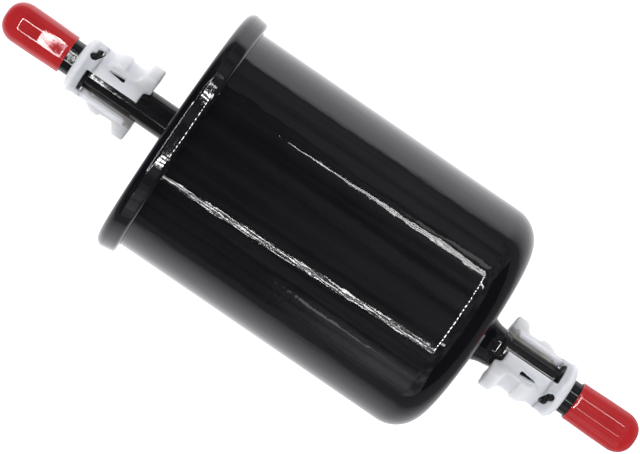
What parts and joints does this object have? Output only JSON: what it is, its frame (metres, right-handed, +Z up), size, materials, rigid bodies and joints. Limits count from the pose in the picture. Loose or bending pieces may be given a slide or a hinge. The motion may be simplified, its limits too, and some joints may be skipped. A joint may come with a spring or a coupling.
{
  "type": "inline fuel filter",
  "caption": "Inline fuel filter: a sealed black steel canister with a beaded quick-connect spigot, nylon retainer clip and push-on dust cap at each end.",
  "frame": {"origin": "on the canister's axis, midway between the tips of the two dust caps", "axes": "+X along the axis from the inlet (seamed end) to the outlet (rounded end), +Z up with the filter lying on its side, +Y completes the right-handed frame"},
  "size_m": [0.165, 0.0604, 0.0604],
  "materials": {
    "gloss_black_paint": "gloss black stoved paint with fine orange peel",
    "black_coated_tube": "semi-gloss black coating on drawn tube",
    "braze": "braze fillet under black paint",
    "seam_compound": "cured seam sealing compound",
    "filter_paper": "resin-treated pleated filter paper",
    "tinplate": "bright tinplate",
    "core_nylon": "matte moulded nylon",
    "plastisol": "cured plastisol bonding ring",
    "grommet_rubber": "matte fuel-resistant rubber",
    "spring_steel": "drawn spring wire",
    "clip_nylon": "natural white nylon, slightly translucent",
    "red_vinyl": "glossy dipped red vinyl"
  },
  "bodies": {
    "housing": {"canister": "gloss_black_paint", "end_cover": "gloss_black_paint", "cover_seal": "seam_compound", "inlet_tube": "black_coated_tube", "outlet_tube": "black_coated_tube", "inlet_braze_ring": "braze", "outlet_braze_ring": "braze", "element_spring": "spring_steel"},
    "element": {"filter_media": "filter_paper", "pleat_seam_clip": "tinplate", "centre_tube": "core_nylon", "closed_end_disc": "tinplate", "open_end_disc": "tinplate", "closed_end_potting": "plastisol", "open_end_potting": "plastisol", "outlet_grommet": "grommet_rubber"},
    "inlet_cap": {"inlet_cap": "red_vinyl"},
    "outlet_cap": {"outlet_cap": "red_vinyl"},
    "inlet_clip": {"inlet_clip_collar": "clip_nylon"},
    "inlet_leg_a": {"inlet_clip_leg_a": "clip_nylon"},
    "inlet_leg_b": {"inlet_clip_leg_b": "clip_nylon"},
    "outlet_clip": {"outlet_clip_collar": "clip_nylon"},
    "outlet_leg_a": {"outlet_clip_leg_a": "clip_nylon"},
    "outlet_leg_b": {"outlet_clip_leg_b": "clip_nylon"}
  },
  "joints": [
    {"name": "element_float", "type": "slide", "parent": "housing", "child": "element", "axis": [1, 0, 0], "range_m": [-0.0012, 0], "stiffness_N_per_m": 2000, "springref_m": 0.004, "deforming": ["element_spring"]},
    {"name": "inlet_cap_pull", "type": "slide", "parent": "housing", "child": "inlet_cap", "axis": [-1, 0, 0], "range_m": [0, 0.02]},
    {"name": "outlet_cap_pull", "type": "slide", "parent": "housing", "child": "outlet_cap", "axis": [1, 0, 0], "range_m": [0, 0.02]},
    {"name": "inlet_clip_turn", "type": "hinge", "parent": "housing", "child": "inlet_clip", "pos_m": [-0.0611, 0, 0], "axis": [1, 0, 0], "continuous": true},
    {"name": "outlet_clip_turn", "type": "hinge", "parent": "housing", "child": "outlet_clip", "pos_m": [0.0611, 0, 0], "axis": [1, 0, 0], "continuous": true},
    {"name": "inlet_leg_a_press", "type": "hinge", "parent": "inlet_clip", "child": "inlet_leg_a", "pos_m": [-0.05962, 0.00475, 0.00297], "axis": [0, 0.5299, -0.848], "range_deg": [0, 3.5], "stiffness_Nm_per_rad": 1},
    {"name": "inlet_leg_b_press", "type": "hinge", "parent": "inlet_clip", "child": "inlet_leg_b", "pos_m": [-0.05962, -0.00475, -0.00297], "axis": [0, -0.5299, 0.848], "range_deg": [0, 3.5], "stiffness_Nm_per_rad": 1},
    {"name": "outlet_leg_a_press", "type": "hinge", "parent": "outlet_clip", "child": "outlet_leg_a", "pos_m": [0.05962, -0.00441, 0.00345], "axis": [0, -0.6157, -0.788], "range_deg": [0, 3.5], "stiffness_Nm_per_rad": 1},
    {"name": "outlet_leg_b_press", "type": "hinge", "parent": "outlet_clip", "child": "outlet_leg_b", "pos_m": [0.05962, 0.00441, -0.00345], "axis": [0, 0.6157, 0.788], "range_deg": [0, 3.5], "stiffness_Nm_per_rad": 1}
  ]
}
